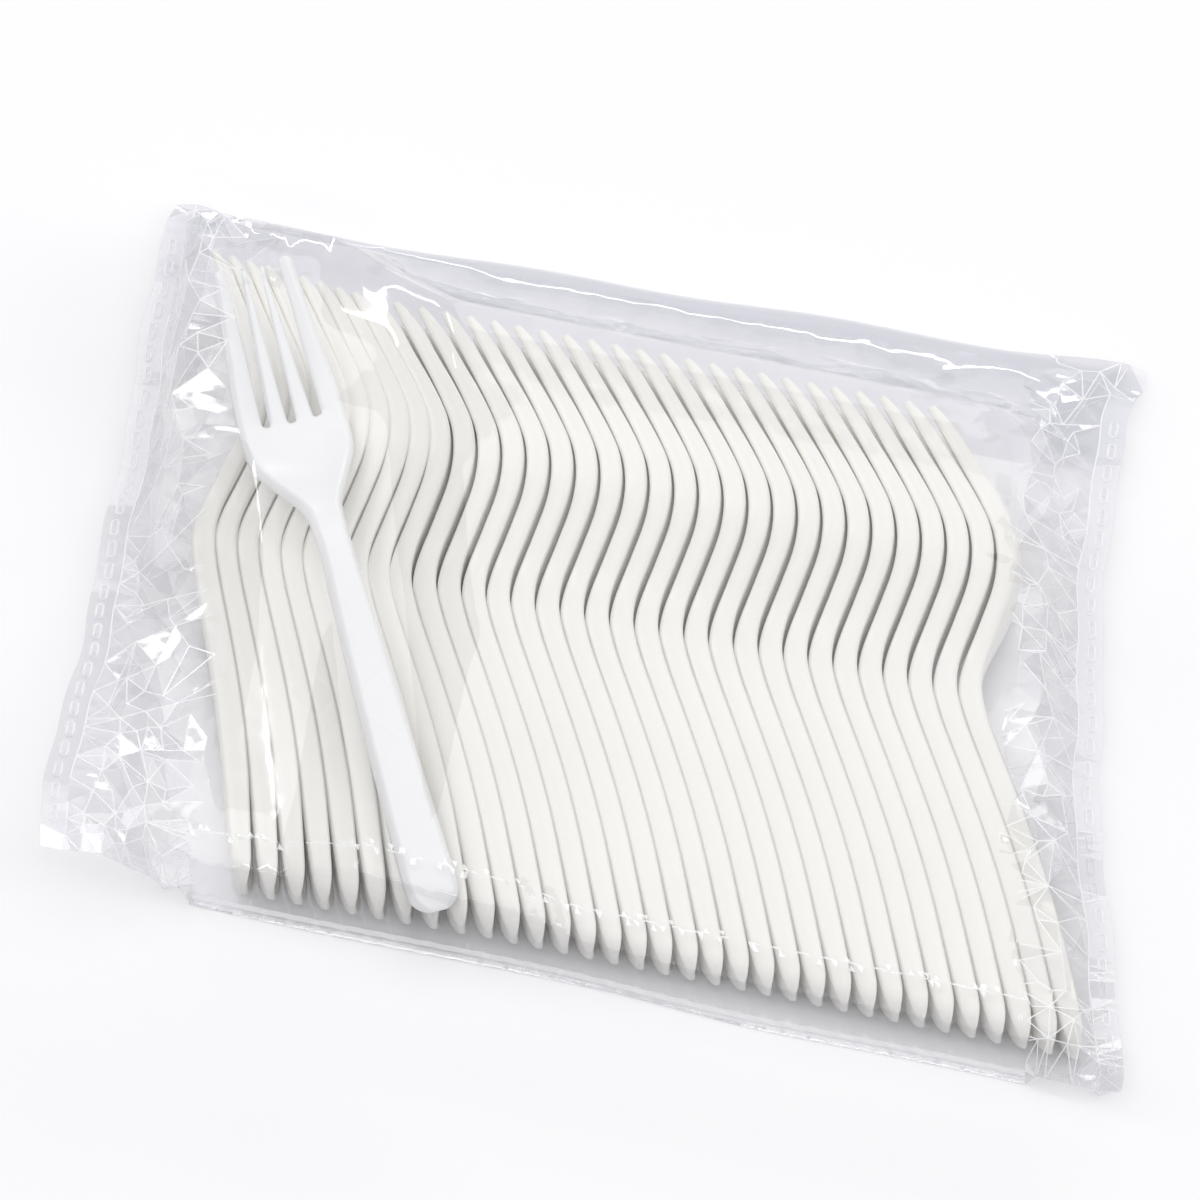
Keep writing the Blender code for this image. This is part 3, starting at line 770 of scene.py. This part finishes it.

# Each face carries how clear it is (tone, tinted darker near the front fold as painted shade), how
# white it is painted (crease_and_glint: crease whitening and painted highlights), and how slack the
# film is there.
film_form = bmesh.new()
tone_layer = film_form.faces.layers.float.new("tone")
crease_and_glint_layer = film_form.faces.layers.float.new("crease_and_glint")
slack_layer = film_form.faces.layers.float.new("slack")
edge_ids = set(outline)
for is_top in (True, False):
    verts = []
    for spot, source in zip(plan_spots, sources):
        rise = heights[source[0]] if source else 0.0
        at_edge = bool(source) and source[0] in edge_ids
        above = film_height(spot.x, spot.y, True)
        below = film_height(spot.x, spot.y, False)
        if at_edge:
            height = (above + below) / 2
        elif is_top:
            height = max(above + rise, below + FILM_GAP)
        else:
            height = max(GROUND_GAP, min(below - 0.6 * rise, above - FILM_GAP))
        verts.append(film_form.verts.new((spot.x, spot.y, height)))
    for corners in plan_faces:
        face = film_form.faces.new([verts[corner] for corner in corners])
        centre = face.calc_center_median()
        strength = crush(centre.x, centre.y)
        is_crushed = strength >= CRUSHED_FROM and not in_seal(centre.x, centre.y)
        face.smooth = not is_crushed and not in_seal(centre.x, centre.y)
        fade = 0.4 + 0.6 * smooth_step((strength - CRUSHED_FROM) / 0.35)
        face[tone_layer] = 1.0 - 0.5 * strength
        if is_crushed:
            face[tone_layer] = 1.0 - CRUSHED_TINT * fade * chance.random()
        face[slack_layer] = 1.0 if is_crushed or centre.y > BACK_SLACK_FROM else 0.12
        if in_seal(centre.x, centre.y):
            face[tone_layer] = SEAL_TONE
        share = share_along(centre.x)
        from_front = (centre.y - edge_y(-1, share)) / MM
        from_back = (edge_y(1, share) - centre.y) / MM
        if from_back < BACK_HEM / MM:
            face[tone_layer] = 0.0
            face[slack_layer] = 0.3
        elif centre.y > BACK_SLACK_FROM:
            face[tone_layer] = chance.uniform(0.0, SLOPE_TONE)
        if is_crushed or not is_top:
            continue
        over_fork = fork_wave(centre.x, centre.y)
        row = (centre.y + half) / MM
        # Painted highlight: the front fold and a second line just behind it are painted white, partly as
        # crease whitening of the fold.
        if from_front < front_rows[0] or second_painted_line[0] < from_front < second_painted_line[1]:
            face[crease_and_glint_layer] = 0.8
        # Painted shade: the top film is tinted darkest between the two fold lines and clears behind them,
        # for the shade under the handle ends.
        elif from_front < FRONT_SHADE_REACH:
            face[tone_layer] = max(0.0, (from_front - second_painted_line[1]) / (FRONT_SHADE_REACH - second_painted_line[1]))
        # Painted highlight: most faces along the ridge over the handle ends, and a few beside it, are
        # painted white as dotted glints.
        elif glint_rows[0] < row < glint_rows[1] and over_fork > -0.2 and chance.random() < 0.8:
            face[crease_and_glint_layer] = 1.0
        elif beside_glint[0] < row < beside_glint[1] and chance.random() < 0.10:
            face[crease_and_glint_layer] = 0.8
rim_verts = [vert for vert in film_form.verts if vert.is_boundary]
bmesh.ops.remove_doubles(film_form, verts=rim_verts, dist=SAME_RIM)
bmesh.ops.recalc_face_normals(film_form, faces=film_form.faces[:])
for edge in film_form.edges:
    if edge.is_manifold and edge.calc_face_angle() > SHARP_EDGE:
        edge.smooth = False

# Each sharp fold is a narrow rounded strip, painted white: partly the whitening of creased film,
# partly a painted highlight along the fold.
folds = []
for edge in film_form.edges:
    if not edge.is_manifold or any(face.smooth for face in edge.link_faces):
        continue
    if edge.calc_face_angle() > SHARP_FOLD:
        folds.append(edge)
beads = bmesh.ops.bevel(
    film_form,
    geom=folds,
    offset=FOLD_ROUND,
    offset_type="OFFSET",
    affect="EDGES",
    segments=2,
    profile=0.5,
    material=-1,
    clamp_overlap=True,
)
for face in beads["faces"]:
    face.smooth = True
    face[crease_and_glint_layer] = 1.0
for vert in film_form.verts:
    vert.co.z = max(vert.co.z, GROUND_GAP)

film_mesh = bpy.data.meshes.new("film bag form")
film_form.to_mesh(film_mesh)
film_form.free()
bag = bpy.data.objects.new("clear_film_bag", film_mesh)
bpy.context.scene.collection.objects.link(bag)


# Clear film lets light straight through with a cool tint and mirrors the lamps. It is painted white
# in creases and marks, partly as crease whitening and partly as painted highlight.
film = bpy.data.materials.new("clear crinkled film")
film.use_nodes = True
nodes = film.node_tree.nodes
links = film.node_tree.links
shader = nodes["Principled BSDF"]
output = nodes["Material Output"]
place = nodes.new("ShaderNodeTexCoord")
ripple = nodes.new("ShaderNodeTexNoise")
ripple.inputs["Scale"].default_value = 160.0
ripple.inputs["Detail"].default_value = 1.0
slack = nodes.new("ShaderNodeAttribute")
slack.attribute_name = "slack"
rippled = nodes.new("ShaderNodeMath")
rippled.operation = "MULTIPLY"
bump = nodes.new("ShaderNodeBump")
bump.inputs["Strength"].default_value = 0.3
bump.inputs["Distance"].default_value = 0.0008
facing = nodes.new("ShaderNodeLayerWeight")
facing.inputs["Blend"].default_value = 0.5
steep = nodes.new("ShaderNodeMath")
steep.operation = "POWER"
steep.inputs[1].default_value = 4.0
mirror = nodes.new("ShaderNodeMath")
mirror.operation = "MULTIPLY_ADD"
mirror.inputs[1].default_value = 0.75
mirror.inputs[2].default_value = 0.075
crease_and_glint = nodes.new("ShaderNodeAttribute")
crease_and_glint.attribute_name = "crease_and_glint"
white = nodes.new("ShaderNodeMath")
white.operation = "MULTIPLY_ADD"
white.inputs[1].default_value = CREASE_AND_GLINT_WHITE
white.use_clamp = True
metal = nodes.new("ShaderNodeMath")
metal.operation = "SUBTRACT"
metal.inputs[0].default_value = 1.0
metal.use_clamp = True
tone = nodes.new("ShaderNodeAttribute")
tone.attribute_name = "tone"
tint = nodes.new("ShaderNodeMix")
tint.data_type = "RGBA"
tint.inputs["A"].default_value = (0.895, 0.895, 0.912, 1.0)
tint.inputs["B"].default_value = (0.992, 0.992, 0.995, 1.0)
through = nodes.new("ShaderNodeBsdfTransparent")
mix = nodes.new("ShaderNodeMixShader")
shader.inputs["Base Color"].default_value = (0.97, 0.97, 0.985, 1.0)
shader.inputs["Roughness"].default_value = 0.07
links.new(place.outputs["Object"], ripple.inputs["Vector"])
links.new(ripple.outputs["Fac"], rippled.inputs[0])
links.new(slack.outputs["Fac"], rippled.inputs[1])
links.new(rippled.outputs["Value"], bump.inputs["Height"])
links.new(bump.outputs["Normal"], shader.inputs["Normal"])
links.new(bump.outputs["Normal"], facing.inputs["Normal"])
links.new(facing.outputs["Facing"], steep.inputs[0])
links.new(steep.outputs["Value"], mirror.inputs[0])
links.new(crease_and_glint.outputs["Fac"], white.inputs[0])
links.new(mirror.outputs["Value"], white.inputs[2])
links.new(crease_and_glint.outputs["Fac"], metal.inputs[1])
links.new(metal.outputs["Value"], shader.inputs["Metallic"])
links.new(tone.outputs["Fac"], tint.inputs["Factor"])
links.new(tint.outputs["Result"], through.inputs["Color"])
links.new(white.outputs["Value"], mix.inputs["Fac"])
links.new(through.outputs["BSDF"], mix.inputs[1])
links.new(shader.outputs["BSDF"], mix.inputs[2])
links.new(mix.outputs["Shader"], output.inputs["Surface"])

film_mesh.materials.append(film)
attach(bag, "root")
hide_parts("film_bag")


# The heated jaws pressed a column of small plain ovals into each seal. Each is a disc of the same
# film with two rings inset in it, a raised one painted white as a painted highlight and a sunken
# one, turned to lie along the seal.

MARK_WIDTH = 2.1 * MM
MARK_LENGTH = 4.6 * MM
MARK_PITCH = 6.05 * MM
MARK_INSET = 2.9 * MM
MARK_HIGHLIGHT_WHITE = 0.9 / CREASE_AND_GLINT_WHITE
MARK_RINGS = ((0.34 * MM, 0.35 * MM), (0.2 * MM, -0.3 * MM))  # width and rise, from outside in
MARK_LIFT = 0.06 * MM
FIRST_MARK = 7.0 * MM
LAST_MARK = 3.0 * MM

marks = bmesh.new()
mark_highlight_layer = marks.faces.layers.float.new("crease_and_glint")
clear_layer = marks.faces.layers.float.new("tone")
for side in (-1, 1):
    count = int((BAG_WIDTH - FIRST_MARK - LAST_MARK) / MARK_PITCH)
    for step in range(count):
        y = -half + FIRST_MARK + step * MARK_PITCH
        x = edge_x(side, y) - side * MARK_INSET
        made = bmesh.ops.create_circle(marks, cap_ends=True, segments=14, radius=MARK_WIDTH / 2)
        for vert in made["verts"]:
            vert.co.y += math.copysign((MARK_LENGTH - MARK_WIDTH) / 2, vert.co.y)
        face = made["verts"][0].link_faces[0]
        face.normal_update()
        if face.normal.z < 0:
            face.normal_flip()
        face[clear_layer] = 0.3
        rims = []
        for width, rise in MARK_RINGS:
            inset = bmesh.ops.inset_region(
                marks, faces=[face], thickness=width, depth=rise, use_boundary=True
            )
            rims += inset["faces"]
        # Painted highlight: the rings are painted white.
        for rim in rims:
            rim[mark_highlight_layer] = MARK_HIGHLIGHT_WHITE
        lean = LEFT_SEAL_LEAN if side < 0 else RIGHT_SEAL_LEAN + 2 * RIGHT_SEAL_BOW * y / SNUG_REACH ** 2
        turned = Matrix.Rotation(-math.atan(lean), 4, "Z")
        lifted = Matrix.Translation((x, y, film_height(x, y, True) + MARK_LIFT))
        ring = {vert for rim in rims + [face] for vert in rim.verts}
        bmesh.ops.transform(marks, matrix=lifted @ turned, verts=list(ring))
marks_mesh = bpy.data.meshes.new("seal marks form")
marks.to_mesh(marks_mesh)
marks.free()
marks_mesh.materials.append(film)
seal_marks = bpy.data.objects.new("seal_marks", marks_mesh)
bpy.context.scene.collection.objects.link(seal_marks)
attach(seal_marks, "root")
